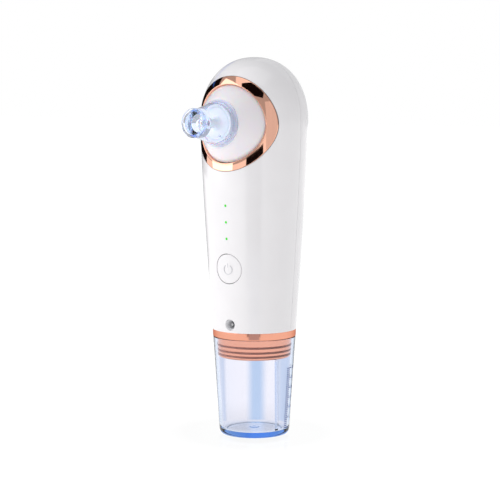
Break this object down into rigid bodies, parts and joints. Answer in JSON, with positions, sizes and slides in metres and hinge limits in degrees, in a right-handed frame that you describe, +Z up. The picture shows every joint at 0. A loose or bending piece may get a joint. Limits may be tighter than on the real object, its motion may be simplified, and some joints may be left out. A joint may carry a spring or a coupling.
{
  "type": "blackhead vacuum extractor",
  "caption": "Hand-held pore suction device: domed tapered handle with a clear front nozzle in a polished ring, power button, charging socket and a clear water tank below.",
  "frame": {"origin": "centre of the tank's flat foot, on the surface it stands on", "axes": "+Z up along the handle's axis, the nozzle and the button face -Y, +X is to the right seen from the front"},
  "size_m": [0.053, 0.0777, 0.1872],
  "materials": {
    "white_shell": "glossy",
    "rose_gold": "polished",
    "clear_tank": "clear, faintly blue",
    "clear_nozzle": "clear, faintly blue",
    "milky_cover": "milky, translucent",
    "seal_rubber": "matte",
    "clear_seal": "translucent",
    "frame_plastic": "moulded",
    "pump_plastic": "moulded",
    "screw_steel": "plated",
    "board_green": "solder mask",
    "black_plastic": "moulded",
    "led_green": "clear resin",
    "lens_green": "lit",
    "socket_grey": "moulded",
    "battery_wrap": "shrink wrap",
    "motor_steel": "drawn",
    "magnet_dark": "sintered",
    "bush_bronze": "sintered",
    "winding_copper": "lacquered",
    "shaft_steel": "ground",
    "pipe_silicone": "translucent",
    "diaphragm_rubber": "matte",
    "filter_white": "moulded"
  },
  "bodies": {
    "tank": {"tank_cup": "clear_tank", "tank_divider": "clear_tank"},
    "handle": {"tank_plug": "rose_gold", "upper_seal": "seal_rubber", "middle_seal": "seal_rubber", "lower_seal": "seal_rubber", "collar_ring": "rose_gold", "front_shell": "white_shell", "rear_shell": "white_shell", "head_ring": "rose_gold", "head_bowl": "frame_plastic", "chassis": "frame_plastic", "frame_screws": "screw_steel", "button_switch": "black_plastic", "circuit_board": "board_green", "indicator_leds": "led_green", "indicator_lenses": "lens_green", "charging_socket": "socket_grey", "socket_pin": "screw_steel", "battery": "battery_wrap", "battery_strap": "black_plastic", "motor_can": "motor_steel", "motor_magnets": "magnet_dark", "motor_bush": "bush_bronze", "connecting_rod": "pump_plastic", "pump_housing": "pump_plastic", "pump_diaphragm": "diaphragm_rubber", "valve_plate": "pump_plastic", "inline_filter": "filter_white", "water_pipe": "pipe_silicone", "waste_pipe": "pipe_silicone", "air_pipe": "pipe_silicone", "pump_pipe": "pipe_silicone"},
    "cover": {"head_cover": "milky_cover", "cover_seal": "clear_seal", "nozzle_seat": "clear_nozzle", "nozzle_seal": "clear_seal"},
    "tip": {"nozzle": "clear_nozzle"},
    "button": {"power_button": "white_shell", "button_pad": "diaphragm_rubber"},
    "rotor": {"motor_shaft": "shaft_steel", "armature": "winding_copper", "eccentric": "pump_plastic"}
  },
  "joints": [
    {"name": "handle_lift", "type": "slide", "parent": "tank", "child": "handle", "axis": [0, 0, 1], "range_m": [0, 0.03]},
    {"name": "cover_pull", "type": "slide", "parent": "handle", "child": "cover", "axis": [0, -0.9994, 0.0349], "range_m": [0, 0.022]},
    {"name": "nozzle_pull", "type": "slide", "parent": "cover", "child": "tip", "axis": [0, -0.9994, 0.0349], "range_m": [0, 0.018]},
    {"name": "button_press", "type": "slide", "parent": "handle", "child": "button", "axis": [0, 1, 0], "range_m": [0, 0.0006], "stiffness_N_per_m": 1200, "springref_m": -0.0004},
    {"name": "rotor_spin", "type": "hinge", "parent": "handle", "child": "rotor", "pos_m": [0, 0.0096, 0.13], "axis": [0, 0, 1], "continuous": true}
  ]
}
